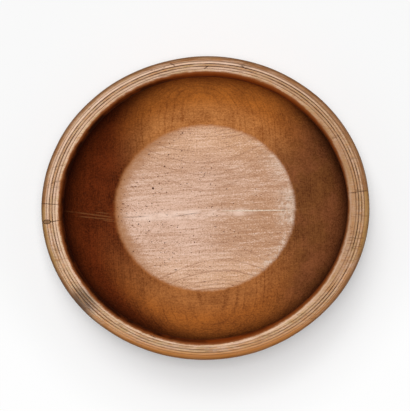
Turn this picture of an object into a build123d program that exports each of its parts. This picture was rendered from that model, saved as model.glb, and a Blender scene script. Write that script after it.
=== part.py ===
from build123d import *
import os
from math import atan2, cos, degrees, radians, sin, sqrt, tan

# A dough bowl turned from one blank of wood.
#
# The blank was turned round while green. In drying it shrank across the grain, so the bowl is oval now,
# its base was planed flat again, and a check opened along the grain. The check is stopped with filler in
# two places: in the floor and at one end of the rim.
#
# Frame: +X along the grain, +Y across it, +Z up, origin at the centre of the base. Sizes in millimetres.
# Every size is the dried bowl's. A diameter or radius is measured along the grain, where the wood kept it.

# Overall sizes
RIM_LENGTH = 420.0  # outside of the rim along the grain
RIM_BREADTH = 388.0  # outside of the rim across the grain
HEIGHT = 120.0

# Wall and rim: the rim is a rolled edge that stands proud of the wall on both sides
NECK_WALL = 15.0  # wall just beneath the rim
RIM_OVERHANG = 8.0  # rim proud of the wall outside
UNDERCUT = 5.0  # rim proud of the wall inside
RIM_CROWN = 1.2  # middle of the rim's top above its corners, before these are rounded
BEAD_HEIGHT = 20.0  # side of the rim, from its top corner to its underside, before these are rounded
BEAD_RADIUS = 7.5
NECK_DROP = 7.0  # from the bead down to the neck, where the rim meets the outer wall
LIP_HEIGHT = 12.0  # upright face of the rim inside the bowl
LIP_RADIUS = 6.5
FLAT_TURN = 22.5  # degrees between the narrow flats that the rim's rounded corners are cut in

# V-shaped rings cut in the top of the rim, half as deep as they are wide
RING_COUNT = 4
RING_PITCH = 3.6
RING_WIDTH = 1.2
RING_SETBACK = 7.3  # from the outside of the rim to the first ring

# Hollow, floor and foot
HOLLOW_DROP = 32.0  # from the crest of the rim down to the widest part of the hollow
FLOOR_DIAMETER = 242.0
FLOOR_THICKNESS = 22.0
FLOOR_SLOPE = 24.0  # degrees that the wall rises at where it leaves the floor
FOOT_DIAMETER = 216.0
FOOT_HEIGHT = 4.0
FOOT_SLOPE = 16.0  # degrees that the outer wall rises at where it leaves the foot
HAUNCH_DIAMETER = 349.0  # of the outer wall where it turns up
HAUNCH_HEIGHT = 32.0
WALL_FLATS = 10  # narrow flats that the wall is cut in from bottom to top, inside and outside

# Filled check, which runs along the grain
CHECK_OFFSET = -7.0  # from the middle of the bowl, across the grain
FLOOR_FILL_LENGTH = 98.0
FLOOR_FILL_WIDTH = 1.6
FLOOR_FILL_TIP = 0.5  # width left at each end
FLOOR_FILL_DEPTH = 6.0
FLOOR_FILL_TURN = -2.5  # degrees off the grain
FLOOR_FILL_MARGIN = 4.0  # wood left between the filler and the edge of the floor
RIM_FILL_LENGTH = 9.0
RIM_FILL_WIDTH = 4.5
RIM_FILL_TIP = 1.2
RIM_FILL_DEPTH = 14.0  # below the crest of the rim
RIM_FILL_SETBACK = 3.0  # from the outside of the rim to the filler

shrinkage = RIM_BREADTH / RIM_LENGTH
rim_radius = RIM_LENGTH / 2
rim_width = RIM_OVERHANG + NECK_WALL + UNDERCUT
rim_middle = rim_radius - rim_width / 2
crown_radius = ((rim_width / 2) ** 2 + RIM_CROWN**2) / (2 * RIM_CROWN)
neck_radius = rim_radius - RIM_OVERHANG
hollow_radius = neck_radius - NECK_WALL
lip_radius = rim_radius - rim_width
floor_radius = FLOOR_DIAMETER / 2
foot_radius = FOOT_DIAMETER / 2
haunch_radius = HAUNCH_DIAMETER / 2
bead_bottom = HEIGHT - RIM_CROWN - BEAD_HEIGHT
neck_level = bead_bottom - NECK_DROP
underside_turn = 90 - degrees(atan2(NECK_DROP, RIM_OVERHANG))
bead_level = bead_bottom + BEAD_RADIUS * tan(radians(underside_turn) / 2)

# Points of the turned section, as radius and height
floor_middle = (0, FLOOR_THICKNESS)
floor_edge = (floor_radius, FLOOR_THICKNESS)
hollow = (hollow_radius, HEIGHT - HOLLOW_DROP)
lip = (lip_radius, HEIGHT - LIP_HEIGHT)
crest = (rim_middle, HEIGHT)
neck = (neck_radius, neck_level)
haunch = (haunch_radius, HAUNCH_HEIGHT)
foot_corner = (foot_radius, FOOT_HEIGHT)
straight_up = (0, 1)
straight_down = (0, -1)
off_foot = (cos(radians(FOOT_SLOPE)), sin(radians(FOOT_SLOPE)))
onto_floor = (-cos(radians(FLOOR_SLOPE)), -sin(radians(FLOOR_SLOPE)))


def crown_height(radius):
    """Height of the rim's crowned top at a radius."""
    return HEIGHT - crown_radius + sqrt(crown_radius**2 - (radius - rim_middle) ** 2)


def rounded(middle_radius, middle_height, radius, start, end):
    """Points round a corner of the section, in flats, between two directions in degrees."""
    flats = round(abs(end - start) / FLAT_TURN)
    points = []
    for flat in range(flats + 1):
        direction = radians(start + (end - start) * flat / flats)
        points.append((middle_radius + radius * cos(direction), middle_height + radius * sin(direction)))
    return points


def in_flats(curve):
    """Points along a curve of the section, as the ends of its flats."""
    return [curve @ (flat / WALL_FLATS) for flat in range(WALL_FLATS + 1)]


# Both sides of the wall: outside from the foot up to the neck, inside from the lip down to the floor
outer_wall = Spline(foot_corner, haunch, neck, tangents=(off_foot, straight_up))
inner_wall = Spline(lip, hollow, floor_edge, tangents=(straight_down, straight_down, onto_floor))

# Rounded corners of the rim, from the neck up over the top and into the hollow
bead_middle = rim_radius - BEAD_RADIUS
lip_middle = lip_radius + LIP_RADIUS
underside = rounded(bead_middle, bead_level, BEAD_RADIUS, -underside_turn, 0)
shoulder = rounded(bead_middle, crown_height(bead_middle) - BEAD_RADIUS, BEAD_RADIUS, 0, 90)
lip_corner = rounded(lip_middle, crown_height(lip_middle) - LIP_RADIUS, LIP_RADIUS, 90, 180)


def as_turned(size):
    """A size across the grain as it was before the wood dried."""
    return size / shrinkage


def dry():
    """Shrink the open part across the grain, as the wood did in drying."""
    scale(by=(1, shrinkage, 1))


def check_outline(length, width, tip):
    """Plan of a filled check: a long eye in flats, centred, with blunt ends."""
    side = []
    for part in (-1, -0.5, 0, 0.5, 1):
        breadth = tip + (width - tip) * (1 - part**2)
        side.append((part * length / 2, as_turned(breadth) / 2))
    other_side = [(along, -across) for along, across in reversed(side)]
    with BuildSketch() as outline:
        with BuildLine():
            Polyline(*side, *other_side, close=True)
        make_face()
    return outline.sketch


# Room for the filler in the floor, from its surface down
floor_fill_centre = floor_radius - FLOOR_FILL_MARGIN - FLOOR_FILL_LENGTH / 2
floor_fill_place = (floor_fill_centre, as_turned(CHECK_OFFSET), FLOOR_THICKNESS)
with BuildPart() as floor_check:
    with BuildSketch(Plane(floor_fill_place).rotated((0, 0, FLOOR_FILL_TURN))):
        add(check_outline(FLOOR_FILL_LENGTH, FLOOR_FILL_WIDTH, FLOOR_FILL_TIP))
    extrude(amount=-FLOOR_FILL_DEPTH)

# Room for the filler in the rim, from the level of the crest down
rim_fill_centre = RIM_FILL_SETBACK + RIM_FILL_LENGTH / 2 - rim_radius
with BuildPart() as rim_check:
    with BuildSketch(Plane((rim_fill_centre, as_turned(CHECK_OFFSET), HEIGHT))):
        add(check_outline(RIM_FILL_LENGTH, RIM_FILL_WIDTH, RIM_FILL_TIP))
    extrude(amount=-RIM_FILL_DEPTH)

# The bowl as turned, on a foot twice as high as the one that is left
with BuildPart() as turned_bowl:
    with BuildSketch(Plane.XZ):
        with BuildLine():
            Polyline(floor_middle, (0, -FOOT_HEIGHT), (foot_radius, -FOOT_HEIGHT), foot_corner)
            Polyline(*in_flats(outer_wall), *underside, *shoulder)
            ThreePointArc(shoulder[-1], crest, lip_corner[0])
            Polyline(*lip_corner, *in_flats(inner_wall))
            Line(floor_edge, floor_middle)
        make_face()
    revolve(axis=Axis.Z)

with BuildPart() as rings:
    with BuildSketch(Plane.XZ):
        for ring in range(RING_COUNT):
            ring_radius = rim_radius - RING_SETBACK - ring * RING_PITCH
            with Locations((ring_radius, crown_height(ring_radius))):
                RegularPolygon(RING_WIDTH / 2, side_count=4)
    revolve(axis=Axis.Z)

# The bowl as it is now: ringed, checked, dried oval and planed flat underneath
with BuildPart() as bowl:
    add(turned_bowl.part)
    add(rings.part, mode=Mode.SUBTRACT)
    add(floor_check.part, mode=Mode.SUBTRACT)
    add(rim_check.part, mode=Mode.SUBTRACT)
    dry()
    split(bisect_by=Plane.XY, keep=Keep.TOP)

with BuildPart() as floor_check_filler:
    add(floor_check.part)
    dry()

# Filler in the rim, flush with the rim's own surface and without rings
with BuildPart() as rim_check_filler:
    add(turned_bowl.part)
    add(rim_check.part, mode=Mode.INTERSECT)
    dry()

os.makedirs("parts", exist_ok=True)
for piece, name in (
    (bowl, "bowl"),
    (floor_check_filler, "floor_check_filler"),
    (rim_check_filler, "rim_check_filler"),
):
    piece.part.label = name
    export_step(piece.part, f"parts/{name}.step")
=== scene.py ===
"""An old dough bowl, turned from one blank of wood, seen from straight above on a white ground."""

from math import atan2, cos, degrees, hypot, pi, radians, sin, sqrt, tan

import bpy
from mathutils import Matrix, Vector
from mathutils.geometry import interpolate_bezier


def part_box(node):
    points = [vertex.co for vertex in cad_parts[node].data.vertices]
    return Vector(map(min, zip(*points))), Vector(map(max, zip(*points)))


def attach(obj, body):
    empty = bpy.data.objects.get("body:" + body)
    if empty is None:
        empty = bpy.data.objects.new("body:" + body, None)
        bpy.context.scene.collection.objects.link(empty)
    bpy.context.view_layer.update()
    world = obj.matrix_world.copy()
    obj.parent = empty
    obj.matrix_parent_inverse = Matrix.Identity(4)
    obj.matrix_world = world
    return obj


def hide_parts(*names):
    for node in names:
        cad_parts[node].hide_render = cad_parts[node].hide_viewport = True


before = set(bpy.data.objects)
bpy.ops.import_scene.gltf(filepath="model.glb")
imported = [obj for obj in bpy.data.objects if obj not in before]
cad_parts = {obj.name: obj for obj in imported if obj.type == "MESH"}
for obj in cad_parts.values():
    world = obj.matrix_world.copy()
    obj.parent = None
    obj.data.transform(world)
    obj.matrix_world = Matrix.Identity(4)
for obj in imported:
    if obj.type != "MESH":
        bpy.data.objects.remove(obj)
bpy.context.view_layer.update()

MM = 0.001

# The bowl's own size, from the frame. It dried oval, so a radius is measured along the grain, where the
# wood kept it.
bowl_low, bowl_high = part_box("bowl")
rim_radius = (bowl_high.x - bowl_low.x) / 2
shrinkage = (bowl_high.y - bowl_low.y) / (bowl_high.x - bowl_low.x)
height = bowl_high.z

# Turned section: rim
RIM_WIDTH = 28 * MM
RIM_CROWN = 1.2 * MM
RIM_OVERHANG = 8 * MM
BEAD_RADIUS = 7.5 * MM
BEAD_HEIGHT = 20 * MM
NECK_DROP = 7 * MM
LIP_RADIUS = 6.5 * MM
LIP_HEIGHT = 12 * MM
RING_COUNT = 4
RING_PITCH = 3.6 * MM
RING_WIDTH = 1.2 * MM
RING_SETBACK = 7.3 * MM

# Turned section: hollow, floor and foot
UNDERCUT = 5 * MM
HOLLOW_DROP = 32 * MM
FLOOR_RADIUS = 121 * MM
FLOOR_THICKNESS = 22 * MM
FLOOR_SLOPE = radians(24)
FOOT_RADIUS = 108 * MM
FOOT_HEIGHT = 4 * MM
FOOT_SLOPE = radians(16)
FOOT_BEVEL = 0.8 * MM

# How full each curve of the section is: how far its handles reach, as a share of its chord
HOLLOW_FULLNESS = 0.38
NECK_FULLNESS = 0.41
OUTSIDE_FULLNESS = 0.42

# How finely the section is drawn
SPIN_STEPS = 480
FLOOR_STEPS = 16
WALL_STEPS = 26
CORNER_STEPS = 8
BASE_STEPS = (0.8, 0.5, 0.2, 0)  # as shares of the foot's radius
MERGE_DISTANCE = 0.002 * MM
SMOOTH_ANGLE = radians(20)  # edges that turn more than this stay crisp

lip_radius = rim_radius - RIM_WIDTH
hollow_radius = lip_radius + UNDERCUT
neck_radius = rim_radius - RIM_OVERHANG
rim_middle = rim_radius - RIM_WIDTH / 2
crown_radius = ((RIM_WIDTH / 2) ** 2 + RIM_CROWN**2) / (2 * RIM_CROWN)

# Filled check, which runs along the grain
CHECK_OFFSET = -7 * MM
FLOOR_FILL_LENGTH = 98 * MM
FLOOR_FILL_WIDTH = 1.6 * MM
FLOOR_FILL_DEPTH = 6 * MM
FLOOR_FILL_TURN = radians(-2.5)
FLOOR_FILL_MARGIN = 4 * MM
RIM_FILL_LENGTH = 9 * MM
RIM_FILL_WIDTH = 4.5 * MM
RIM_FILL_DEPTH = 14 * MM
RIM_FILL_SETBACK = 3 * MM
FLOOR_FILL_GAP = 0.05 * MM  # open joint left round the filler
RIM_FILL_GAP = 0.7 * MM
FILL_RECESS = 0.25 * MM  # of each filler below the wood
FILL_SIDES = 40

floor_fill_centre = (FLOOR_RADIUS - FLOOR_FILL_MARGIN - FLOOR_FILL_LENGTH / 2, CHECK_OFFSET)
rim_fill_centre = (RIM_FILL_SETBACK + RIM_FILL_LENGTH / 2 - rim_radius, CHECK_OFFSET)

# Worm holes in the floor: place along and across the grain, and diameter, in millimetres
WORM_HOLES = (
    (-69, 30, 3.8),
    (-72, 76, 2.2),
    (-46, 74, 2.1),
    (-52, 59, 2.2),
    (-23, 34, 1.9),
    (-6, 22, 1.7),
    (-97, 34, 1.9),
    (-76, -14, 2.4),
    (-91, -17, 2.3),
    (-39, -24, 2.0),
    (-57, -44, 2.1),
    (-17, -45, 2.0),
    (-44, -81, 2.3),
    (-47, -58, 1.8),
    (-100, -53, 1.9),
    (30, 24, 2.1),
    (69, 22, 1.8),
    (38, 4, 1.6),
    (23, -33, 1.8),
    (37, -34, 1.8),
)
WORM_HOLE_DEPTH = 3 * MM
WORM_HOLE_SIDES = 10
WORM_HOLE_TAPER = 0.6  # width at the bottom, as a share of that at the top
WORM_HOLE_LEAN = (8, 12)  # degrees at the most, along and across

# Open cracks and slashes in millimetres: start, end, width and depth
FLOOR_CRACKS = (
    ((-114, -7), (-77, -7.5), 0.9, 3.0),
    ((-47, -8.5), (-4, -6.5), 0.9, 3.0),
    ((-2, 42), (4, 48), 1.2, 2.0),
)
RIM_CRACKS = (
    ((-212, 17.5), (-179, 13), 0.7, 7.0),
    ((212, 11.5), (181, 9.5), 0.7, 7.0),
    ((-200, -7), (-184, -6), 0.8, 6.0),
    ((7, 177), (14, 181), 1.0, 2.5),
    ((-36, 187), (-29, 183), 0.9, 3.0),
    ((54, 179), (62, 174), 0.9, 2.5),
    ((-80, -157), (-71, -162), 0.9, 2.5),
)
CRACK_BOTTOM = 0.1  # width left at the bottom and at both ends, as shares of the whole width
CRACK_TIP = 0.2


# Modelling by hand


def begin():
    """Leave edit mode and clear the selection before a new piece."""
    if bpy.context.object and bpy.context.object.mode != "OBJECT":
        bpy.ops.object.mode_set(mode="OBJECT")
    bpy.ops.object.select_all(action="DESELECT")


def pick(*pieces):
    """Select these pieces alone, the first one active."""
    begin()
    for piece in pieces:
        piece.select_set(True)
    bpy.context.view_layer.objects.active = pieces[0]


def choose_vertices(piece, wanted):
    """Select the vertices of the piece in edit mode that the test picks by their place."""
    bpy.ops.mesh.select_mode(type="VERT")
    bpy.ops.mesh.select_all(action="DESELECT")
    bpy.ops.object.mode_set(mode="OBJECT")
    for vertex in piece.data.vertices:
        vertex.select = wanted(vertex.co)
    bpy.ops.object.mode_set(mode="EDIT")


def settle(piece):
    """Put the piece's place, turn and size into its mesh."""
    pick(piece)
    bpy.ops.object.transform_apply(location=True, rotation=True, scale=True)


def finish_modifiers(piece):
    """Apply every modifier of the piece, in order."""
    pick(piece)
    for modifier in list(piece.modifiers):
        bpy.ops.object.modifier_apply(modifier=modifier.name)


def cut(piece, cutter, operation="DIFFERENCE"):
    """Cut the piece with the cutter, or keep only what both share, and throw the cutter away."""
    boolean = piece.modifiers.new(name="cut", type="BOOLEAN")
    boolean.operation = operation
    boolean.solver = "EXACT"
    boolean.object = cutter
    finish_modifiers(piece)
    bpy.data.objects.remove(cutter)


def copied(piece, name):
    """A copy of the piece with its own mesh."""
    pick(piece)
    bpy.ops.object.duplicate(linked=False)
    copy = bpy.context.object
    copy.name = name
    return copy


def joined(pieces, name):
    """Several pieces as one."""
    pick(*pieces)
    bpy.ops.object.join()
    piece = bpy.context.object
    piece.name = name
    return piece


# The turned section


def crown_height(radius):
    """Height of the rim's crowned top at a radius."""
    return height - crown_radius + sqrt(crown_radius**2 - (radius - rim_middle) ** 2)


def ring_radius(ring):
    """Radius of one of the rings in the rim, counted from the outside."""
    return rim_radius - RING_SETBACK - ring * RING_PITCH


def corner(centre, radius, start, end):
    """Points round a corner of the section, from one angle to another in degrees."""
    points = []
    for step in range(CORNER_STEPS + 1):
        angle = radians(start + (end - start) * step / CORNER_STEPS)
        points.append((centre[0] + radius * cos(angle), centre[1] + radius * sin(angle)))
    return points


def sweep(start, leaving, end, arriving, fullness, steps):
    """Points on a fair curve from one point of the section to another, in these directions at its ends."""
    start = Vector(start)
    end = Vector(end)
    reach = (end - start).length * fullness
    handle_out = start + Vector(leaving) * reach
    handle_in = end - Vector(arriving) * reach
    return [tuple(point) for point in interpolate_bezier(start, handle_out, handle_in, end, steps)]


def floor_section():
    """The floor, from its middle to its edge."""
    return [(FLOOR_RADIUS * step / FLOOR_STEPS, FLOOR_THICKNESS) for step in range(FLOOR_STEPS)]


def hollow_section():
    """The wall of the hollow, from the floor's edge up to the lip."""
    floor_edge = (FLOOR_RADIUS, FLOOR_THICKNESS)
    widest = (hollow_radius, height - HOLLOW_DROP)
    lip = (lip_radius, height - LIP_HEIGHT)
    off_floor = (cos(FLOOR_SLOPE), sin(FLOOR_SLOPE))
    wall = sweep(floor_edge, off_floor, widest, (0, 1), HOLLOW_FULLNESS, WALL_STEPS)
    neck = sweep(widest, (0, 1), lip, (0, 1), NECK_FULLNESS, CORNER_STEPS)
    return wall + neck[1:]


def rim_section():
    """The rim: lip, crowned top with its rings, and bead."""
    lip_middle = lip_radius + LIP_RADIUS
    points = corner((lip_middle, crown_height(lip_middle) - LIP_RADIUS), LIP_RADIUS, 180, 90)
    for ring in reversed(range(RING_COUNT)):
        for offset, depth in ((-1, 0), (0, RING_WIDTH / 2), (1, 0)):
            radius = ring_radius(ring) + offset * RING_WIDTH / 2
            points.append((radius, crown_height(radius) - depth))
    bead_middle = rim_radius - BEAD_RADIUS
    bead = corner((bead_middle, crown_height(bead_middle) - BEAD_RADIUS), BEAD_RADIUS, 90, 0)
    rings_end = ring_radius(0) + RING_WIDTH / 2
    points += [point for point in bead if point[0] > rings_end]
    underside_turn = pi / 2 - atan2(NECK_DROP, RIM_OVERHANG)
    bead_bottom = height - RIM_CROWN - BEAD_HEIGHT
    bead_level = bead_bottom + BEAD_RADIUS * tan(underside_turn / 2)
    points += corner((bead_middle, bead_level), BEAD_RADIUS, 0, -degrees(underside_turn))
    return points


def outside_section():
    """The outer wall, from the neck under the rim down to the middle of the base."""
    neck = (neck_radius, height - RIM_CROWN - BEAD_HEIGHT - NECK_DROP)
    foot = (FOOT_RADIUS, FOOT_HEIGHT)
    onto_foot = (-cos(FOOT_SLOPE), -sin(FOOT_SLOPE))
    points = sweep(neck, (0, -1), foot, onto_foot, OUTSIDE_FULLNESS, WALL_STEPS)
    points += [(FOOT_RADIUS, FOOT_BEVEL), (FOOT_RADIUS - FOOT_BEVEL, 0)]
    points += [(FOOT_RADIUS * part, 0) for part in BASE_STEPS]
    return points


def turned_blank():
    """The bowl as turned and dried: its section drawn, spun, and narrowed across the grain."""
    section = floor_section() + hollow_section() + rim_section() + outside_section()
    begin()
    bpy.ops.mesh.primitive_plane_add(size=MM)
    blank = bpy.context.object
    blank.name = "turned_bowl"
    bpy.ops.object.mode_set(mode="EDIT")
    bpy.ops.mesh.select_mode(type="VERT")
    bpy.ops.mesh.merge(type="CENTER")
    bpy.ops.transform.translate(value=(0, 0, section[0][1]))
    for (radius, level), (next_radius, next_level) in zip(section, section[1:]):
        step = (next_radius - radius, 0, next_level - level)
        bpy.ops.mesh.extrude_vertices_move(TRANSFORM_OT_translate={"value": step})
    bpy.ops.mesh.select_all(action="SELECT")
    bpy.ops.mesh.spin(steps=SPIN_STEPS, angle=2 * pi, center=(0, 0, 0), axis=(0, 0, 1))
    bpy.ops.mesh.select_all(action="SELECT")
    bpy.ops.mesh.remove_doubles(threshold=MERGE_DISTANCE)
    bpy.ops.mesh.normals_make_consistent(inside=False)
    bpy.ops.transform.resize(value=(1, shrinkage, 1), center_override=(0, 0, 0))
    bpy.ops.object.mode_set(mode="OBJECT")
    return blank


# Wear: an uneven surface, and rings that come and go round the rim

WEAR = 1.3 * MM
WEAR_SIZE = 75 * MM
WEAR_MIDDLE = 0.5  # level of the pattern that leaves the surface where it is
RING_WEAR = 1.0 * MM
RING_WEAR_SIZE = 45 * MM
RING_WEAR_MIDDLE = 0.6
WEAR_STARTS = 8 * MM  # above the table, so that the foot stays flat
WEAR_FULL = 40 * MM
FLOOR_WEAR = 0.4  # as a share of the rim's


def turned_radius(place):
    """Distance of a place from the bowl's axis, measured along the grain."""
    return hypot(place.x, place.y / shrinkage)


def wear_at(place):
    """How far the surface at a place has worn uneven, from 0 to 1."""
    if turned_radius(place) < FLOOR_RADIUS and place.z > WEAR_STARTS:
        return FLOOR_WEAR
    return min(max((place.z - WEAR_STARTS) / (WEAR_FULL - WEAR_STARTS), 0), 1)


def ring_wear_at(place):
    """1 at the bottom of a ring in the rim's top, and 0 elsewhere."""
    if place.z < height - 2 * RING_WIDTH:
        return 0.0
    asides = [abs(turned_radius(place) - ring_radius(ring)) for ring in range(RING_COUNT)]
    return 1.0 if min(asides) < RING_WIDTH / 4 else 0.0


def weather(piece, name, weight_at, direction, size, strength, middle):
    """Push the piece's surface about by a cloudy pattern, as far as each place's weight says."""
    group = piece.vertex_groups.new(name=name)
    for vertex in piece.data.vertices:
        weight = weight_at(vertex.co)
        if weight > 0:
            group.add([vertex.index], weight, "REPLACE")
    clouds = bpy.data.textures.new(name, "CLOUDS")
    clouds.noise_scale = size
    clouds.noise_depth = 1
    displace = piece.modifiers.new(name=name, type="DISPLACE")
    displace.texture = clouds
    displace.texture_coords = "LOCAL"
    displace.vertex_group = name
    displace.direction = direction
    displace.strength = strength
    displace.mid_level = middle


def worn_blank():
    """The turned bowl after long use."""
    blank = turned_blank()
    weather(blank, "ring_wear", ring_wear_at, "Z", RING_WEAR_SIZE, RING_WEAR, RING_WEAR_MIDDLE)
    weather(blank, "wear", wear_at, "NORMAL", WEAR_SIZE, WEAR, WEAR_MIDDLE)
    finish_modifiers(blank)
    blank.vertex_groups.clear()
    return blank


# Cutters for what time did to the wood


def worm_holes():
    """Slightly tapered drills, one for each hole, all leaning a little differently."""
    begin()
    depth = 2 * WORM_HOLE_DEPTH
    bpy.ops.mesh.primitive_cylinder_add(vertices=WORM_HOLE_SIDES, radius=MM / 2, depth=depth)
    drill = bpy.context.object
    drill.name = "worm_drill"
    bpy.ops.object.mode_set(mode="EDIT")
    choose_vertices(drill, lambda place: place.z < 0)
    taper = (WORM_HOLE_TAPER, WORM_HOLE_TAPER, 1)
    bpy.ops.transform.resize(value=taper, center_override=(0, 0, -WORM_HOLE_DEPTH))
    begin()
    lean_along, lean_across = WORM_HOLE_LEAN
    drills = []
    for count, (along, across, diameter) in enumerate(WORM_HOLES):
        hole = copied(drill, f"worm_hole_{count}")
        hole.location = (along * MM, across * MM, FLOOR_THICKNESS)
        hole.scale = (diameter, diameter, 1)
        hole.rotation_euler = (radians(lean_along * sin(count)), radians(lean_across * cos(2 * count)), 0)
        settle(hole)
        drills.append(hole)
    bpy.data.objects.remove(drill)
    return joined(drills, "worm_holes")


def crack(name, start, end, width, depth, level, seed):
    """A thin crooked wedge between two places given in millimetres, sharp below and at both ends."""
    start = Vector(start) * MM
    end = Vector(end) * MM
    run = end - start
    middle = (start + end) / 2
    begin()
    bpy.ops.mesh.primitive_cube_add(size=1)
    wedge = bpy.context.object
    wedge.name = name
    wedge.scale = (run.length, width * MM, 2 * depth * MM)
    settle(wedge)
    bpy.ops.object.mode_set(mode="EDIT")
    bpy.ops.mesh.select_all(action="SELECT")
    bpy.ops.mesh.bisect(plane_co=(-run.length / 4, 0, 0), plane_no=(1, 0, 0))
    bpy.ops.mesh.select_all(action="SELECT")
    bpy.ops.mesh.bisect(plane_co=(run.length / 4, 0, 0), plane_no=(1, 0, 0))
    choose_vertices(wedge, lambda place: place.z < 0)
    bpy.ops.transform.resize(value=(1, CRACK_BOTTOM, 1), center_override=(0, 0, 0))
    choose_vertices(wedge, lambda place: abs(place.x) > run.length * 0.4)
    bpy.ops.transform.resize(value=(1, CRACK_TIP, 1), center_override=(0, 0, 0))
    for side in (-1, 1):
        choose_vertices(wedge, lambda place: abs(place.x - side * run.length / 4) < MM / 10)
        bpy.ops.transform.translate(value=(0, side * width * MM * sin(seed), 0))
    begin()
    wedge.location = (middle.x, middle.y, level)
    wedge.rotation_euler = (0, 0, atan2(run.y, run.x))
    settle(wedge)
    return wedge


def cracks():
    """Every open crack and slash."""
    wedges = []
    for count, (start, end, width, depth) in enumerate(FLOOR_CRACKS):
        wedges.append(crack(f"floor_crack_{count}", start, end, width, depth, FLOOR_THICKNESS, count))
    for count, (start, end, width, depth) in enumerate(RIM_CRACKS):
        wedges.append(crack(f"rim_crack_{count}", start, end, width, depth, height, count))
    return joined(wedges, "cracks")


def eye(name, centre, length, width, top, depth, turn):
    """An eye-shaped plug along the grain, from a level down."""
    begin()
    bpy.ops.mesh.primitive_circle_add(vertices=FILL_SIDES, radius=0.5, fill_type="NGON")
    plug = bpy.context.object
    plug.name = name
    plug.scale = (length, width, 1)
    plug.rotation_euler = (0, 0, turn)
    plug.location = (centre[0], centre[1], top)
    settle(plug)
    bpy.ops.object.mode_set(mode="EDIT")
    bpy.ops.mesh.select_all(action="SELECT")
    bpy.ops.mesh.extrude_region_move(TRANSFORM_OT_translate={"value": (0, 0, -depth)})
    bpy.ops.mesh.select_all(action="SELECT")
    bpy.ops.mesh.normals_make_consistent(inside=False)
    begin()
    return plug


CLEARANCE = 3 * MM  # how far a cutter stands above the surface that it cuts


def floor_plug(name, spare=0.0):
    """The filler in the floor, or its room with some to spare."""
    return eye(
        name,
        floor_fill_centre,
        FLOOR_FILL_LENGTH + 2 * spare,
        FLOOR_FILL_WIDTH + 2 * spare,
        FLOOR_THICKNESS + CLEARANCE,
        FLOOR_FILL_DEPTH + CLEARANCE + spare,
        FLOOR_FILL_TURN,
    )


def rim_plug(name, spare=0.0):
    """The filler in the rim, or its room with some to spare."""
    return eye(
        name,
        rim_fill_centre,
        RIM_FILL_LENGTH + 2 * spare,
        RIM_FILL_WIDTH + 2 * spare,
        height + CLEARANCE,
        RIM_FILL_DEPTH + CLEARANCE + spare,
        0,
    )


def filler(blank, plug, name, slot_node):
    """A filler scraped to the bowl's own surface, shrunk a little below it."""
    piece = copied(blank, name)
    cut(piece, plug, "INTERSECT")
    pick(piece)
    bpy.ops.object.mode_set(mode="EDIT")
    bpy.ops.mesh.select_all(action="SELECT")
    bpy.ops.transform.translate(value=(0, 0, -FILL_RECESS))
    pick(piece)
    bpy.ops.object.shade_smooth_by_angle(angle=SMOOTH_ANGLE)
    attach(piece, "root")
    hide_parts(slot_node)
    return piece


def aged_bowl():
    """The worn bowl with its worm holes, cracks and filled check."""
    bowl = worn_blank()
    floor_filler = filler(bowl, floor_plug("floor_plug"), "floor_filler", "floor_check_filler")
    rim_filler = filler(bowl, rim_plug("rim_plug"), "rim_filler", "rim_check_filler")
    cut(bowl, floor_plug("floor_room", FLOOR_FILL_GAP))
    cut(bowl, rim_plug("rim_room", RIM_FILL_GAP))
    cut(bowl, worm_holes())
    cut(bowl, cracks())
    pick(bowl)
    bpy.ops.object.shade_smooth_by_angle(angle=SMOOTH_ANGLE)
    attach(bowl, "root")
    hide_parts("bowl")
    return bowl, floor_filler, rim_filler


# Finishes


def paint(red, green, blue):
    """A colour as a picture shows it, from 0 to 255, in the linear values that a shader takes."""
    linear = []
    for level in (red, green, blue):
        part = level / 255
        linear.append(part / 12.92 if part <= 0.04045 else ((part + 0.055) / 1.055) ** 2.4)
    return (*linear, 1.0)


class Field:
    """A value that varies over a surface, given by a recipe's node and reckoned with like a number."""

    def __init__(self, recipe, socket):
        self.recipe = recipe
        self.socket = socket

    def maths(self, operation, *others):
        return self.recipe.fed("ShaderNodeMath", self, *others, operation=operation)

    def __add__(self, other):
        return self.maths("ADD", other)

    def __sub__(self, other):
        return self.maths("SUBTRACT", other)

    def __rsub__(self, other):
        return self.recipe.fed("ShaderNodeMath", other, self, operation="SUBTRACT")

    def __mul__(self, other):
        return self.maths("MULTIPLY", other)

    def __truediv__(self, other):
        return self.maths("DIVIDE", other)

    def __abs__(self):
        return self.maths("ABSOLUTE")

    def ease(self, start, end, low=0.0, high=1.0):
        """Go smoothly from low to high while the value goes from start to end."""
        settings = (start, end, low, high)
        return self.recipe.fed("ShaderNodeMapRange", self, *settings, interpolation_type="SMOOTHSTEP")

    def band(self, begins, full, fades, ends):
        """1 while the value is between full and fades, and 0 before begins and after ends."""
        return self.ease(begins, full) * self.ease(ends, fades)


def larger(first, second):
    """The larger of two fields, or of a field and a number."""
    return first.maths("MAXIMUM", second)


def distance(along, across):
    """How far away a place is that lies so far along and so far across."""
    return (along * along + across * across).maths("SQRT")


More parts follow.
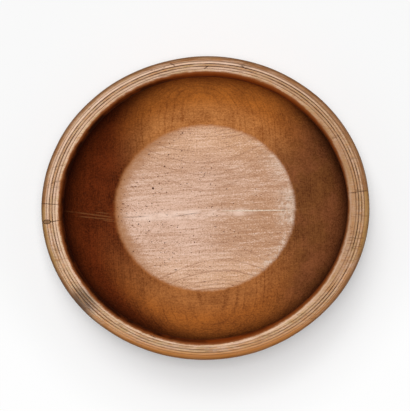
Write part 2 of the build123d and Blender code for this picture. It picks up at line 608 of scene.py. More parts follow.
class Recipe:
    """The nodes of one finish, added one after another, and the place in the frame that they colour."""

    def __init__(self, name):
        self.material = bpy.data.materials.new(name)
        self.material.use_nodes = True
        self.tree = self.material.node_tree
        self.tree.nodes.clear()
        self.place = self.output("ShaderNodeTexCoord", "Object")
        self.x, self.y, self.z = self.split(self.place)

    def node(self, kind, **settings):
        made = self.tree.nodes.new(kind)
        for name, value in settings.items():
            setattr(made, name, value)
        return made

    def output(self, kind, name):
        return Field(self, self.node(kind).outputs[name])

    def feed(self, socket, value):
        """Link a socket to a field, or set its value."""
        if isinstance(value, Field):
            self.tree.links.new(value.socket, socket)
        else:
            socket.default_value = value

    def fed(self, kind, *values, **settings):
        """The field of a new node whose first inputs take these values."""
        made = self.node(kind, **settings)
        for socket, value in zip(made.inputs, values):
            self.feed(socket, value)
        return Field(self, made.outputs[0])

    def split(self, vector):
        made = self.node("ShaderNodeSeparateXYZ")
        self.feed(made.inputs[0], vector)
        return [Field(self, socket) for socket in made.outputs]

    def noise(self, source, value, scale, detail, roughness, dimensions="3D"):
        made = self.node("ShaderNodeTexNoise", noise_dimensions=dimensions)
        self.feed(made.inputs[source], value)
        for name, setting in (("Scale", scale), ("Detail", detail), ("Roughness", roughness)):
            made.inputs[name].default_value = setting
        return Field(self, made.outputs[0])

    def clouds(self, scale, detail=2.0, roughness=0.5, place=None):
        """Clouds, about as many to the metre as the scale says."""
        return self.noise("Vector", place or self.place, scale, detail, roughness)

    def grain(self, along, across, detail=2.0, roughness=0.5):
        """Clouds drawn out along the grain, about so many to the metre along and across it."""
        mapping = self.node("ShaderNodeMapping")
        self.feed(mapping.inputs["Vector"], self.place)
        mapping.inputs["Scale"].default_value = (along, across, across)
        return self.clouds(1.0, detail, roughness, Field(self, mapping.outputs[0]))

    def bands(self, along, scale, detail, roughness=0.5):
        """Uneven bands along one measure."""
        return self.noise("W", along, scale, detail, roughness, "1D")

    def mix(self, share, first, second):
        """The first colour with a share of the second over it."""
        made = self.node("ShaderNodeMix", data_type="RGBA")
        for socket, value in ((0, share), (6, first), (7, second)):
            self.feed(made.inputs[socket], value)
        return Field(self, made.outputs[2])

    def bump(self, relief, strength, depth):
        made = self.node("ShaderNodeBump")
        made.inputs["Strength"].default_value = strength
        made.inputs["Distance"].default_value = depth
        self.feed(made.inputs["Height"], relief)
        return Field(self, made.outputs[0])

    def surface(self, colour, roughness, normal, specular):
        shader = self.node("ShaderNodeBsdfPrincipled")
        self.feed(shader.inputs["Base Color"], colour)
        self.feed(shader.inputs["Roughness"], roughness)
        self.feed(shader.inputs["Normal"], normal)
        shader.inputs["Specular IOR Level"].default_value = specular
        self.show(shader)

    def show(self, shader):
        output = self.node("ShaderNodeOutputMaterial")
        self.tree.links.new(shader.outputs[0], output.inputs["Surface"])


class Wood(Recipe):
    """The recipe of the bowl's wood, which knows where on the bowl a point of the surface is.

    round_x and round_y are its direction from the bowl's axis. Seen from above, round_x is 1 at the right and
    round_y is 1 at the top. outward is 1 where the surface faces away from the axis.
    """

    def __init__(self, name):
        super().__init__(name)
        across = self.y / shrinkage
        self.radius = distance(self.x, across)
        self.round_x = self.x / self.radius
        self.round_y = across / self.radius
        normal = self.split(self.output("ShaderNodeNewGeometry", "Normal"))
        self.outward = normal[0] * self.round_x + normal[1] * self.round_y
        self.above_floor = self.z - FLOOR_THICKNESS
        self.in_from_rim = rim_radius - self.radius
        self.in_from_floor_edge = FLOOR_RADIUS - self.radius

    def around(self, layer, length):
        """A place for a pattern that is drawn out round the bowl, one layer beside another."""
        return self.fed("ShaderNodeCombineXYZ", layer, self.round_x * length, self.round_y * length)

    def near_line(self, start, end, half_width):
        """1 on a straight line between two places, fading to 0 at its edge and ends. In millimetres."""
        start = Vector(start) * MM
        run = Vector(end) * MM - start
        way = run.normalized()
        from_x = self.x - start.x
        from_y = self.y - start.y
        along = abs(from_x * way.x + from_y * way.y - run.length / 2)
        aside = abs(from_y * way.x - from_x * way.y)
        across = aside.ease(half_width * MM, half_width * MM / 4)
        return across * along.ease(run.length / 2, run.length / 3)

    def near_spot(self, spot, size):
        """1 at a place, fading to 0 at a distance given along and across the grain. In millimetres."""
        from_x = (self.x - spot[0] * MM) / (size[0] * MM)
        from_y = (self.y - spot[1] * MM) / (size[1] * MM)
        return distance(from_x, from_y).ease(1.0, 0.2)


# The wood's figure. The blank was half a log, with the pith above the bowl and a little to one side.
PITH_ABOVE_TABLE = 280 * MM
PITH_OFFSET = -3 * MM
PITH_BOW = 1.0  # the log was crooked: how far the pith sinks, in metres, a metre along the grain
PITH_SWAY = 9 * MM
YEAR = 2.0 * MM  # width of a year's growth
YEAR_WIGGLE = 1.5 * MM
PORES_THICKEN = (90 * MM, -60 * MM)  # along the grain


def year_rings(wood):
    """Thin uneven lines of late wood round the pith, and broad bands of good and bad years."""
    sway = (wood.grain(5, 12, detail=1) - 0.5) * PITH_SWAY
    wiggle = wood.grain(45, 90, detail=3, roughness=0.6) * YEAR_WIGGLE
    bow = wood.x * wood.x * -PITH_BOW
    from_pith = distance(wood.y - PITH_OFFSET, wood.z - PITH_ABOVE_TABLE)
    years = (from_pith + sway + wiggle + bow) / YEAR
    late = years.maths("FRACT").band(0.55, 0.88, 0.93, 1.0)
    good_year = wood.bands(years.maths("FLOOR"), 0.73, detail=1)
    patchy = wood.grain(12, 30, detail=3)
    lines = late * good_year.ease(0.25, 0.6) * patchy.ease(0.32, 0.6)
    seasons = wood.bands(years, 0.4, detail=3, roughness=0.6)
    return lines, seasons.ease(0.32, 0.68)


def fibres(wood):
    """Fine streaks along the grain, dark below a half and light above it."""
    fine = wood.grain(480, 640, detail=3, roughness=0.75)
    long = wood.grain(34, 480, detail=3, roughness=0.7)
    return fine * 0.6 + long * 0.4


def hairlines(wood):
    """Fine open checks along the grain, here and there."""
    aside = abs(wood.grain(14, 170) - 0.5)
    return aside.ease(0.022, 0.006) * wood.grain(20, 45, detail=1).ease(0.48, 0.6)


def pores(wood):
    """Short dark pores along the grain, thicker in some places and to the left."""
    crowd = wood.clouds(24) * 0.26 + wood.x.ease(*PORES_THICKEN, 0.0, 0.06)
    return (wood.grain(300, 400, detail=1) + crowd).ease(0.88, 0.93)


# Scrubbed floor. Each pair is where a tint begins and where it is full.
SCRUBBED_PALE = paint(220, 183, 161)
SCRUBBED_LIGHT = paint(243, 215, 198)
SCRUBBED_LINE = paint(162, 118, 90)
SCRUBBED_TAN = paint(188, 142, 108)
# brown of the floor's left edge: partly wear, partly painted shadow of the wall
SCRUBBED_EDGE_AND_SHADE = paint(172, 122, 84)
SCRUBBED_BRINK = paint(176, 112, 60)
SCRUBBED_WARM = paint(218, 172, 130)
CHALKY = paint(224, 206, 190)
STAIN = paint(84, 70, 62)
TAN_RIGHTWARDS = (-30 * MM, 100 * MM)
TAN_UPWARDS = (30 * MM, 110 * MM)
WARM_FROM_MIDDLE = (45 * MM, 100 * MM)  # across the grain
WORN_AND_SHADED_FROM_EDGE = (24 * MM, 3 * MM)
WORN_AND_SHADED_RAGGED = 30 * MM
CHALKY_FROM_EDGE = (31 * MM, 2 * MM)
CHALKY_BRINK = (12 * MM, 6 * MM)

# Marks on the floor in millimetres: place and size, and for the bare patches how far they show
BARE_PATCHES = (((58, -22), (88, 66), 0.8), ((-52, 46), (62, 44), 0.4))
CHALKY_PATCH = ((113, -4), (26, 40))
CHECK_SMEAR = ((-118, -8), (78, -7), 9)  # start, end and half its width


def bare_floor(wood):
    """Clean scrubbed wood, tanner to the right, towards the top and in patches."""
    blotch = wood.grain(14, 26, detail=3, roughness=0.6)
    tanned = blotch * 0.9 + wood.x.ease(*TAN_RIGHTWARDS) * 0.5 + wood.y.ease(*TAN_UPWARDS) * 0.2
    colour = wood.mix(tanned.ease(0.3, 1.15), SCRUBBED_PALE, SCRUBBED_TAN)
    grain = wood.grain(7, 75, detail=3, roughness=0.6)
    colour = wood.mix(grain.ease(0.56, 0.36, 0.0, 0.25), colour, SCRUBBED_TAN)
    colour = wood.mix(grain.ease(0.52, 0.68, 0.0, 0.15), colour, SCRUBBED_LIGHT)
    for spot, size, share in BARE_PATCHES:
        colour = wood.mix(wood.near_spot(spot, size) * share, colour, SCRUBBED_TAN)
    return colour


def worn_and_shaded_edge(wood, wisps):
    """How far the floor is darkened brown along its ragged left edge, partly wear and partly painted shadow
    of the wall.
    """
    edge = wood.in_from_floor_edge - (wisps - 0.5) * WORN_AND_SHADED_RAGGED
    to_left = wood.round_x.ease(0.2, -0.6)
    return edge.ease(*WORN_AND_SHADED_FROM_EDGE) * to_left * wood.round_y.ease(-0.85, -0.3, 0.4, 1.0)


def chalky_end(wood, colour, wisps, streaks):
    """The floor's colour with chalky marks along its right edge and dark gaps between them."""
    flakes = wood.clouds(190, detail=3, roughness=0.7)
    edge = wood.in_from_floor_edge.ease(*CHALKY_FROM_EDGE) * wood.round_x.ease(0.55, 1.0)
    brink = wood.in_from_floor_edge.ease(*CHALKY_BRINK) * wood.round_x.ease(0.3, 0.8)
    brink = brink * wood.round_y.ease(0.4, -0.2, 0.4, 1.2)
    chalk = larger(edge * wisps.ease(0.4, 0.62), brink * flakes.ease(0.4, 0.62))
    chalk = chalk * streaks.ease(0.42, 0.58, 0.5, 1.4)
    patch = wood.near_spot(*CHALKY_PATCH)
    colour = wood.mix(patch * flakes.ease(0.5, 0.38, 0.0, 0.35), colour, STAIN)
    chalk = larger(chalk, patch * flakes.ease(0.46, 0.6, 0.0, 1.3))
    return wood.mix(chalk * 0.5, colour, CHALKY)


def scrubbed_floor(wood, years, streaks):
    """Pale scrubbed wood of the floor, worn along its edges and darker along its left edge with painted
    shadow, with a light smear along the check.
    """
    wisps = wood.grain(40, 70, detail=5, roughness=0.7)
    to_ends = abs(wood.y).ease(*WARM_FROM_MIDDLE)
    colour = wood.mix(to_ends * 0.5, bare_floor(wood), SCRUBBED_WARM)
    worn_and_shaded = worn_and_shaded_edge(wood, wisps)
    # wear with painted shadow of the wall along the floor's left edge
    colour = wood.mix(worn_and_shaded * 0.95, colour, SCRUBBED_EDGE_AND_SHADE)
    light = streaks.ease(0.5, 0.64, 0.0, 0.7) * worn_and_shaded.ease(0.2, 0.9, 1.0, 0.2)
    colour = wood.mix(light, colour, SCRUBBED_LIGHT)
    lines = years * to_ends.ease(0.1, 0.9, 0.3, 0.7) + streaks.ease(0.5, 0.38, 0.0, 0.9)
    colour = wood.mix(lines, colour, SCRUBBED_LINE)
    colour = chalky_end(wood, colour, wisps, streaks)
    smear = wood.near_line(*CHECK_SMEAR) * wisps.ease(0.3, 0.6)
    return wood.mix(smear * 0.7, colour, SCRUBBED_LIGHT)


# Oiled wall. Heights are above the floor, each pair where a tint begins and where it is full.
OILED_SIDE = paint(206, 138, 78)
OILED_SIDE_HIGH = paint(204, 122, 50)
OILED_SIDE_LINE = paint(142, 78, 34)
OILED_END = paint(138, 82, 48)
OILED_END_LINE = paint(88, 46, 22)
OILED_OLIVE = paint(124, 82, 34)
# darker end grain on the left, partly painted shade
OILED_LEFT_SHADED = paint(112, 48, 18)
OILED_LEFT_SHADED_LINE = paint(62, 22, 6)
# near black of grease, with painted shade under the rim's undercut
GREASE_AND_SHADE = paint(44, 12, 2)
SCRATCH = paint(210, 150, 92)
SIDE_RISE = (4 * MM, 22 * MM)
RIGHT_END_RISE = (4 * MM, 26 * MM)
LEFT_END_RISE = (8 * MM, 43 * MM)
LEFT_END_LOW_RISE = (0, 14 * MM)
# Grease with painted shade under the rim: where it begins, is full, runs down and wanders
GREASE_AND_SHADE_BEGINS = 42 * MM
GREASE_AND_SHADE_FULL = 58 * MM
GREASE_AND_SHADE_RUNS_DOWN = 26 * MM  # so much lower on the end grain and towards the bottom of the picture
GREASE_AND_SHADE_RAGGED = 12 * MM

# Light scratches in millimetres: start, end and half the width
WALL_SCRATCHES = (
    ((-196, 8), (-84, -14), 1.3),
    ((-176, -1), (-84, -16), 1.1),
    ((-150, 3), (-92, -8), 0.9),
    ((-140, -9), (-95, -17), 0.8),
    ((100, -10), (150, -7), 1.2),
)


def end_grain(wood):
    """How far the wall's end grain shows to the right and to the left, where it reaches further round. On the
    left the reach and the darker tint are partly painted shade.
    """
    reach = wood.round_y.ease(0.3, -0.7, 0.08, 0.24) * wood.above_floor.ease(*RIGHT_END_RISE)
    right = (reach + wood.round_x).ease(0.55, 1.0)
    reach_down = wood.round_y.ease(0.0, -1.0, 0.2, 0.45) * wood.above_floor.ease(*LEFT_END_RISE)
    reach_up = wood.round_y.ease(0.0, 0.6) * wood.above_floor.ease(*LEFT_END_LOW_RISE, 0.08, 0.16)
    left = (reach_down + reach_up - wood.round_x).ease(0.45, 1.05)
    return right, left


def wall_side(wood, lines):
    """The wall along the grain, more orange higher up and browner towards the bottom of the picture, which is
    painted shade that evens out the key lamp's stronger light there.
    """
    colour = wood.mix(wood.above_floor.ease(*SIDE_RISE), OILED_SIDE, OILED_SIDE_HIGH)
    # painted shade: darker towards the bottom of the picture, where the key lamp lights the hollow's wall
    # more
    colour = wood.mix(wood.round_y.ease(-0.1, -0.8, 0.0, 0.5), colour, OILED_SIDE_LINE)
    line = wood.mix(wood.round_y.ease(-0.2, -0.9, 0.0, 0.5), OILED_SIDE_LINE, OILED_END_LINE)
    return wood.mix(lines, colour, line)


def grease_and_shade(wood, mottle, grit, right, left):
    """How far grease and painted shade darken the wall under the rim, where the rim's undercut shades it. It
    runs lower on end grain and at the bottom.
    """
    # grimy also marks where the painted shade under the rim is deeper: the end grain and the bottom of the
    # picture
    grimy = larger(larger(left, right * 0.95), wood.round_y.ease(-0.3, -0.9, 0.0, 0.95))
    begins = grimy * -GREASE_AND_SHADE_RUNS_DOWN + (mottle - 0.5) * GREASE_AND_SHADE_RAGGED + GREASE_AND_SHADE_BEGINS
    strength = (grimy * 0.7 + 0.15) * grit.ease(0.0, 1.0, 0.8, 1.1)
    return wood.above_floor.ease(begins, GREASE_AND_SHADE_FULL) * strength


def oiled_wall(wood, years, seasons, streaks):
    """Oiled wood: orange along the grain, dark brown on the end grain, near black under the rim from grease
    and painted shade.
    """
    mottle = wood.clouds(38, detail=5, roughness=0.65)
    patches = wood.clouds(16, detail=3, roughness=0.6)
    grit = wood.clouds(400, detail=3, roughness=0.8).ease(0.3, 0.7)
    lines = years * 0.35 + seasons * 0.1 + grit * 0.6 + patches.ease(0.35, 0.65, -0.35, -0.15)
    lines = lines + mottle.ease(0.35, 0.65, 0.0, 0.3) + streaks.ease(0.38, 0.62, 0.35, -0.05)
    inside = wood.outward.ease(0.1, -0.1)
    right, left = end_grain(wood)
    end = wood.mix(patches.ease(0.45, 0.6, 0.0, 0.45), OILED_END, OILED_OLIVE)
    end = wood.mix(lines, end, OILED_END_LINE)
    # the left end grain, darker with painted shade
    shaded_left_end = wood.mix(inside, end, wood.mix(lines, OILED_LEFT_SHADED, OILED_LEFT_SHADED_LINE))
    colour = wood.mix(right, wall_side(wood, lines), end)
    colour = wood.mix(left, colour, shaded_left_end)
    for scratch in WALL_SCRATCHES:
        share = wood.near_line(*scratch) * mottle.ease(0.35, 0.6, 0.03, 0.14)
        colour = wood.mix(share, colour, SCRATCH)
    # painted shade with grease: near black on the wall under the rim's undercut
    colour = wood.mix(inside * grease_and_shade(wood, mottle, grit, right, left), colour, GREASE_AND_SHADE)
    return wood.mix((1.0 - inside) * 0.5, colour, OILED_END_LINE)


# Worn rim. Distances are in from its outside: where a band begins, is full, fades and ends, or the first
# two of these.
RIM_PALE = paint(224, 189, 156)
RIM_PINK = paint(234, 201, 178)
RIM_OLIVE = paint(202, 170, 120)
RIM_ORANGE = paint(210, 152, 98)
RIM_AMBER = paint(194, 134, 80)
RIM_DARK = paint(158, 112, 74)
SHOULDER = paint(140, 92, 54)
SHOULDER_WARM = paint(172, 106, 46)
SAPWOOD = paint(184, 144, 84)
# dirt with painted shade, where the rim's bead turns down steeply
EDGE_DIRT_AND_SHADE = paint(112, 76, 46)
RING_DIRT = paint(98, 64, 40)
# painted shade in the worm holes and cracks
HOLE_AND_CRACK_SHADE = paint(84, 44, 26)
RINGED_BAND = (8 * MM, 11 * MM, 16 * MM, 20 * MM)
CREST_BAND = (4.5 * MM, 7 * MM, 9.5 * MM, 12 * MM)
INNER_BAND = (13 * MM, 16 * MM, 18.5 * MM, 21 * MM)
AMBER_BAND = (14 * MM, 8 * MM)
DULL_BAND = (13 * MM, 18 * MM)
SHOULDER_BAND = (5.5 * MM, 2 * MM)
SHOULDER_WIDER_RIGHT = 1.8 * MM
SHOULDER_NARROWER_LOWER_RIGHT = 2.4 * MM
SHOULDER_RAGGED = 4 * MM
SAPWOOD_BELOW = (17 * MM, 8 * MM)  # across the grain
RIM_STAIN = ((-161, -109), (29, 28))  # place and size in millimetres

# The line where the worn rim turns into the dark wall, in from the rim's outside, and how far it wanders
# Painted shade at the lip: brown where it turns down, dark red to near black under its undercut, partly grime
LIP_TURN_SHADE = paint(132, 72, 32)
UNDERCUT_SHADE_RED = paint(118, 50, 11)
LIP_LINE = 24 * MM
LIP_OUT_TOP_AND_BOTTOM = 3.1 * MM
LIP_OUT_LEFT = 1.3 * MM
LIP_OUT_UPPER_RIGHT = 2.0 * MM
LIP_OUT_UPPER_SIDES = 1.4 * MM
LIP_IN_RIGHT = 3.2 * MM
LIP_IN_UPWARDS = 0.9 * MM
LIP_IN_BOTTOM = 1.5 * MM
LIP_RAGGED = 3 * MM
LIP_SCUFFED = 2 * MM

# Bands along that line, as distances out from it
# painted highlight along the lip's edge
LIP_HIGHLIGHT_BAND = (2 * MM, 3 * MM, 3.5 * MM, 5 * MM)
DARKER_NEAR_LIP_BAND = (5.5 * MM, 3 * MM)
TURN_SHADE_BAND = (2.9 * MM, 0.4 * MM)
UNDERCUT_SHADE_BAND = (1.2 * MM, -3 * MM)


def ring_dirt(wood):
    """Dirt in the rings of the rim, most in the middle ones and stronger in some places than others."""
    count = (wood.in_from_rim - RING_SETBACK) / RING_PITCH
    nearest = count.maths("ROUND")
    line = abs(count - nearest).ease(0.28, 0.08)
    share = abs(nearest - (RING_COUNT - 1) / 2).ease(RING_COUNT / 2, RING_COUNT / 2 - 1.6)
    patchy = wood.clouds(1.6, detail=4, roughness=0.65, place=wood.around(nearest * 5.3, 3))
    return line * share * patchy.ease(0.38, 0.58, 0.15, 1.0)


def out_from_lip(wood):
    """How far out from the wandering line a place is where the worn rim turns into the dark wall."""
    to_right = larger(wood.round_x, 0.0)
    wander = wood.round_y * wood.round_y * LIP_OUT_TOP_AND_BOTTOM
    wander = wander + wood.round_x.ease(-0.8, -0.96, 0.0, LIP_OUT_LEFT)
    wander = wander + to_right * wood.round_y * LIP_OUT_UPPER_RIGHT
    wander = wander + abs(wood.round_x) * larger(wood.round_y, 0.0) * LIP_OUT_UPPER_SIDES
    wander = wander - to_right * LIP_IN_RIGHT - wood.round_y * LIP_IN_UPWARDS
    wander = wander - wood.round_y.ease(-0.6, -0.95, 0.0, LIP_IN_BOTTOM)
    wander = wander + (wood.clouds(110, detail=4, roughness=0.7) - 0.5) * LIP_RAGGED
    return LIP_LINE - (wood.in_from_rim + wander)


def rim_grain(wood, colour, years, streaks, scuffs, tints):
    """The rim's colour with its tints, scuffs, year lines, grain and flecks."""
    colour = wood.mix(tints.ease(0.5, 0.66, 0.0, 0.7), colour, RIM_ORANGE)
    colour = wood.mix(tints.ease(0.46, 0.34, 0.0, 0.7), colour, RIM_OLIVE)
    colour = wood.mix((scuffs + streaks * 0.5).ease(0.84, 0.5), colour, RIM_DARK)
    colour = wood.mix(years * 0.3, colour, RIM_DARK)
    grain = wood.grain(80, 520, detail=4, roughness=0.75)
    colour = wood.mix(grain.ease(0.5, 0.34, 0.0, 0.5), colour, RIM_DARK)
    colour = wood.mix(grain.ease(0.52, 0.66, 0.0, 0.6), colour, RIM_PINK)
    flecks = wood.grain(160, 260)
    colour = wood.mix(flecks.ease(0.52, 0.66, 0.0, 0.45), colour, RIM_ORANGE)
    return wood.mix(flecks.ease(0.48, 0.34, 0.0, 0.45), colour, RIM_OLIVE)


def rim_bands(wood, colour):
    """The rim's colour with the bands that use has left, darker among the rings and paler beside them."""
    to_top = (wood.round_y - wood.round_x * 0.4).ease(0.1, 0.7)
    to_upper_left = (wood.round_y - wood.round_x).ease(0.2, 0.9, 0.0, 0.35)
    to_bottom = wood.round_y.ease(-0.65, -0.95, 0.0, 0.8)
    to_right = wood.round_x.ease(0.55, 0.95, 0.0, 0.5)
    ringed = wood.in_from_rim.band(*RINGED_BAND) * 0.22
    colour = wood.mix(ringed * (to_top * 0.9 + 1.0), colour, RIM_DARK)
    colour = wood.mix(wood.in_from_rim.band(*CREST_BAND) * to_top * 0.6, colour, RIM_PINK)
    colour = wood.mix(wood.in_from_rim.band(*INNER_BAND) * to_upper_left, colour, RIM_PINK)
    colour = wood.mix(wood.round_x.ease(0.1, 0.8, 0.0, 0.3), colour, RIM_DARK)
    colour = wood.mix(wood.in_from_rim.ease(*AMBER_BAND) * to_bottom, colour, RIM_AMBER)
    return wood.mix(wood.in_from_rim.ease(*DULL_BAND) * to_right, colour, RIM_DARK)


def rim_shoulder(wood, colour, scuffs):
    """The rim's colour with its browner shoulder, and sapwood on that at both ends of the grain."""
    lower_right = larger(wood.round_x, 0.0) * wood.round_y.maths("MINIMUM", 0.0)
    wider = wood.round_x.ease(-0.6, 0.1, 0.0, SHOULDER_WIDER_RIGHT)
    wider = wider + lower_right * SHOULDER_NARROWER_LOWER_RIGHT + scuffs * SHOULDER_RAGGED
    shoulder = (wood.in_from_rim - wider).ease(*SHOULDER_BAND)
    tint = wood.mix(wood.round_y.ease(-0.5, -0.9), SHOULDER, SHOULDER_WARM)
    colour = wood.mix(shoulder * scuffs.ease(0.35, 0.65, 1.0, 0.5), colour, tint)
    at_ends = abs(wood.round_x).ease(0.9, 0.97, 0.0, 0.5)
    return wood.mix(shoulder * at_ends * wood.y.ease(*SAPWOOD_BELOW), colour, SAPWOOD)


def rim_marks(wood, colour, scuffs):
    """The rim's colour with its hairlines, dirty rings, stain, and cracks darkened with painted shade and
    some dirt.
    """
    colour = wood.mix(hairlines(wood) * 0.45, colour, RING_DIRT)
    colour = wood.mix(ring_dirt(wood) * wood.round_y.ease(-0.95, -0.55, 0.35, 0.95), colour, RING_DIRT)
    colour = wood.mix(wood.near_spot(*RIM_STAIN) * scuffs.ease(0.3, 0.6, 0.15, 0.9), colour, STAIN)
    for start, end, width, _ in RIM_CRACKS:
        # painted shade with some dirt along each crack
        colour = wood.mix(wood.near_line(start, end, width) * 0.6, colour, HOLE_AND_CRACK_SHADE)
    return colour


def rim_lip(wood, colour, scuffs, tints):
    """The rim's colour with its lip: a painted highlight along its edge and a darker band beside it, then
    painted shade, brown where it turns down and near black beneath it, partly grime.
    """
    out = out_from_lip(wood) + scuffs * LIP_SCUFFED
    # painted highlight: a pale band along the lip's edge, on the lower half and most at the lower right
    lip_highlight = wood.round_y.ease(0.3, 0.0, 0.0, 0.3) + (wood.round_x - wood.round_y).ease(1.1, 1.35, 0.0, 0.2)
    colour = wood.mix(out.band(*LIP_HIGHLIGHT_BAND) * lip_highlight, colour, RIM_PINK)
    # darker just out from the lip, everywhere but the lower left
    darker_near_lip = wood.round_x.ease(-0.95, -0.6) * wood.round_y.ease(-0.95, -0.6) * 0.25
    colour = wood.mix(out.ease(*DARKER_NEAR_LIP_BAND) * darker_near_lip, colour, RIM_DARK)
    # painted shade: brown where the lip turns down
    colour = wood.mix(out.ease(*TURN_SHADE_BAND), colour, LIP_TURN_SHADE)
    black = tints.ease(0.4, 0.6, 0.0, 0.5) + wood.round_x.ease(0.2, -0.6, -0.15, 0.75)
    black = black - wood.round_y.ease(0.4, 0.9, 0.0, 0.2)
    # painted shade under the lip's undercut, partly grime, darker to the left
    return wood.mix(out.ease(*UNDERCUT_SHADE_BAND), colour, wood.mix(black, UNDERCUT_SHADE_RED, GREASE_AND_SHADE))


def worn_rim(wood, years, streaks):
    """Pale worn top of the rim in several tints, dirty in its rings, browner on its shoulder, with painted
    shade at the lip and dirt with painted shade along its outer edge.
    """
    scuffs = wood.clouds(1.0, detail=4, roughness=0.7, place=wood.around(wood.radius * 700, 6))
    patches = wood.around(wood.radius * 90, 4)
    tints = wood.clouds(1.7, detail=3, place=patches)
    colour = wood.mix(wood.clouds(1.0, detail=3, place=patches).ease(0.46, 0.62), RIM_PALE, RIM_PINK)
    colour = rim_grain(wood, colour, years, streaks, scuffs, tints)
    colour = rim_bands(wood, colour)
    colour = rim_shoulder(wood, colour, scuffs)
    colour = rim_marks(wood, colour, scuffs)
    colour = rim_lip(wood, colour, scuffs, tints)
    to_upper_left = (wood.round_y - wood.round_x).ease(-1.0, 1.0, 0.35, 0.65)
    # dirt and painted shade on the outer edge, where the bead turns down, stronger at the upper left
    return wood.mix(wood.outward.ease(0.42, 0.78) * to_upper_left, colour, EDGE_DIRT_AND_SHADE)


# The whole bowl: where its three finishes meet, each pair where one begins and where it is full
PORE_BROWN = paint(96, 56, 36)
SCRUBBED_FROM_EDGE = (-5 * MM, 1.5 * MM)  # in from the floor's edge
BRINK_FROM_EDGE = (-7 * MM, -2 * MM)
FLOOR_EDGE_RAGGED = 6 * MM
SCRUBBED_ABOVE_TABLE = (10 * MM, 12 * MM)  # the base isn't scrubbed
RIM_BELOW_CREST = (14 * MM, 8 * MM)
HOLE_BELOW_FLOOR = (-0.5 * MM, -1.2 * MM)
GRAIN_RELIEF = 0.4 * MM


def turned_wood():
    """The bowl's wood."""
    wood = Wood("turned_wood")
    years, seasons = year_rings(wood)
    streaks = fibres(wood)
    edge = wood.in_from_floor_edge - wood.clouds(90, detail=4, roughness=0.7) * FLOOR_EDGE_RAGGED
    above_base = wood.z.ease(*SCRUBBED_ABOVE_TABLE)
    on_floor = edge.ease(*SCRUBBED_FROM_EDGE) * above_base
    on_brink = edge.ease(*BRINK_FROM_EDGE) * above_base * wood.round_x.ease(0.3, 0.9, 0.55, 0.25)
    on_rim = (height - wood.z).ease(*RIM_BELOW_CREST)
    colour = wood.mix(on_brink, oiled_wall(wood, years, seasons, streaks), SCRUBBED_BRINK)
    colour = wood.mix(on_floor, colour, scrubbed_floor(wood, years, streaks))
    colour = wood.mix(on_rim, colour, worn_rim(wood, years, streaks))
    colour = wood.mix(pores(wood) * on_floor.ease(0.0, 1.0, 0.25, 0.85), colour, PORE_BROWN)
    # painted shade in recesses: wood below the floor, in the worm holes, cracks and filler joints
    colour = wood.mix(wood.above_floor.ease(*HOLE_BELOW_FLOOR) * on_floor, colour, HOLE_AND_CRACK_SHADE)
    relief = wood.bump(streaks * 0.6 - years * 0.4, 0.3, GRAIN_RELIEF)
    wood.surface(colour, on_floor.ease(0.0, 1.0, 0.55, 0.8), relief, specular=0.03)
    return wood.material


FILLER_BROWN = paint(196, 170, 144)
FILLER_PALE = paint(240, 224, 204)
FILLER_GRIMY = paint(138, 102, 70)
GRIMY_LEFTWARDS = (0, -100 * MM)  # along the grain, from the floor's filler to the rim's
FILLER_RELIEF = 0.3 * MM


def check_filler():
    """Pale filler of wood dust and glue, grimy in the rim."""
    recipe = Recipe("check_filler")
    crumbs = recipe.clouds(900, roughness=0.6)
    colour = recipe.mix(crumbs.ease(0.3, 0.7), FILLER_BROWN, FILLER_PALE)
    colour = recipe.mix(recipe.x.ease(*GRIMY_LEFTWARDS), colour, FILLER_GRIMY)
    recipe.surface(colour, 0.8, recipe.bump(crumbs, 0.5, FILLER_RELIEF), specular=0.3)
    return recipe.material


# Ground, light and camera

GROUND_SIZE = 12.0
GROUND_WHITE = paint(247, 247, 247)
BACKDROP_WHITE = paint(249, 249, 249)
BACKDROP_WHITE_NEAR = paint(255, 255, 255)  # towards the bottom of the picture
SHADOW_LIFT = 0.17  # share of the ground's white that the bowl's shadow can't take away
SHADOW_LIFT_AWAY = 0.9  # the same, away from the bowl
SHADOW_FADES = (30 * MM, 120 * MM)  # out from the rim, where the shadow begins to fade and where it ends


def ground():
    """A white ground that keeps the bowl's soft shadow."""
    begin()
    bpy.ops.mesh.primitive_plane_add(size=GROUND_SIZE)
    plane = bpy.context.object
    plane.name = "ground"
    recipe = Recipe("white_ground")
    diffuse = recipe.node("ShaderNodeBsdfDiffuse")
    diffuse.inputs["Color"].default_value = GROUND_WHITE
    glow = recipe.node("ShaderNodeEmission")
    to_bottom = recipe.y.ease(0.0, -rim_radius)
    recipe.feed(glow.inputs["Color"], recipe.mix(to_bottom, BACKDROP_WHITE, BACKDROP_WHITE_NEAR))
    from_rim = distance(recipe.x, recipe.y) - rim_radius
    lift = from_rim.ease(*SHADOW_FADES, SHADOW_LIFT, SHADOW_LIFT_AWAY)
    seen = recipe.output("ShaderNodeLightPath", "Is Camera Ray")
    blend = recipe.node("ShaderNodeMixShader")
    recipe.feed(blend.inputs[0], seen * lift)
    recipe.tree.links.new(diffuse.outputs[0], blend.inputs[1])
    recipe.tree.links.new(glow.outputs[0], blend.inputs[2])
    recipe.show(blend)
    plane.data.materials.append(recipe.material)


SKY_STRENGTH = 0.1


def sky():
    """Even light from all round, with a white backdrop."""
    world = bpy.data.worlds.new("soft_sky")
    bpy.context.scene.world = world
    world.use_nodes = True
    tree = world.node_tree
    tree.nodes.clear()
    fill = tree.nodes.new("ShaderNodeBackground")
    fill.inputs["Color"].default_value = (1, 1, 1, 1)
    fill.inputs["Strength"].default_value = SKY_STRENGTH
    backdrop = tree.nodes.new("ShaderNodeBackground")
    backdrop.inputs["Color"].default_value = GROUND_WHITE
    seen = tree.nodes.new("ShaderNodeLightPath")
    blend = tree.nodes.new("ShaderNodeMixShader")
    output = tree.nodes.new("ShaderNodeOutputWorld")
    tree.links.new(seen.outputs["Is Camera Ray"], blend.inputs[0])
    tree.links.new(fill.outputs[0], blend.inputs[1])
    tree.links.new(backdrop.outputs[0], blend.inputs[2])
    tree.links.new(blend.outputs[0], output.inputs["Surface"])


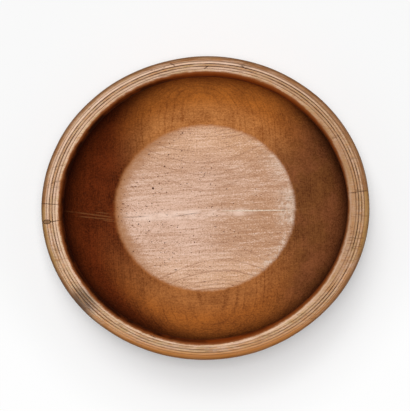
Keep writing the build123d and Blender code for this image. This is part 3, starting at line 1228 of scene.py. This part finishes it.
# Lamps: direction from +X towards +Y and above the ground in degrees, distance and size in metres,
# power in watts
OVERHEAD_LAMP = (90, 88, 3.5, 1.0, 69)
KEY_LAMP = (104, 70, 3.5, 1.3, 47)


def soft_lamp(name, azimuth, elevation, away, size, power):
    """A broad soft lamp that faces the bowl."""
    lamp = bpy.data.lights.new(name, "AREA")
    lamp.shape = "SQUARE"
    lamp.size = size
    lamp.energy = power
    holder = bpy.data.objects.new(name, lamp)
    bpy.context.scene.collection.objects.link(holder)
    flat = cos(radians(elevation))
    towards = Vector((flat * cos(radians(azimuth)), flat * sin(radians(azimuth)), sin(radians(elevation))))
    holder.location = towards * away
    holder.rotation_euler = towards.to_track_quat("Z", "Y").to_euler()


CAMERA_ABOVE_RIM = 1.75
LENS = 120.4
SENSOR = 36.0
PICTURE_LONG_SIDE = 411  # pixels
GRAIN_TILT = radians(3)  # the right end of the grain lies higher in the picture
BOWL_LEFT_BY = -0.5  # pixels from the middle of the picture to the bowl's
BOWL_DOWN_BY = 2.6


def camera():
    """Looks straight down on the bowl."""
    data = bpy.data.cameras.new("camera")
    data.lens = LENS
    data.sensor_width = SENSOR
    holder = bpy.data.objects.new("camera", data)
    bpy.context.scene.collection.objects.link(holder)
    pixel = CAMERA_ABOVE_RIM * SENSOR / LENS / PICTURE_LONG_SIDE
    right = BOWL_LEFT_BY * pixel
    up = BOWL_DOWN_BY * pixel
    turn = -GRAIN_TILT
    holder.location = (
        right * cos(turn) - up * sin(turn),
        right * sin(turn) + up * cos(turn),
        height + CAMERA_ABOVE_RIM,
    )
    holder.rotation_euler = (0, 0, turn)
    bpy.context.scene.camera = holder


def coat(finish, *pieces):
    """Give whole pieces one finish."""
    for piece in pieces:
        piece.data.materials.clear()
        piece.data.materials.append(finish)


bowl_piece, *filler_pieces = aged_bowl()
coat(turned_wood(), bowl_piece)
coat(check_filler(), *filler_pieces)
ground()
sky()
soft_lamp("overhead_lamp", *OVERHEAD_LAMP)
soft_lamp("key_lamp", *KEY_LAMP)
camera()
bpy.context.scene.view_settings.view_transform = "Standard"
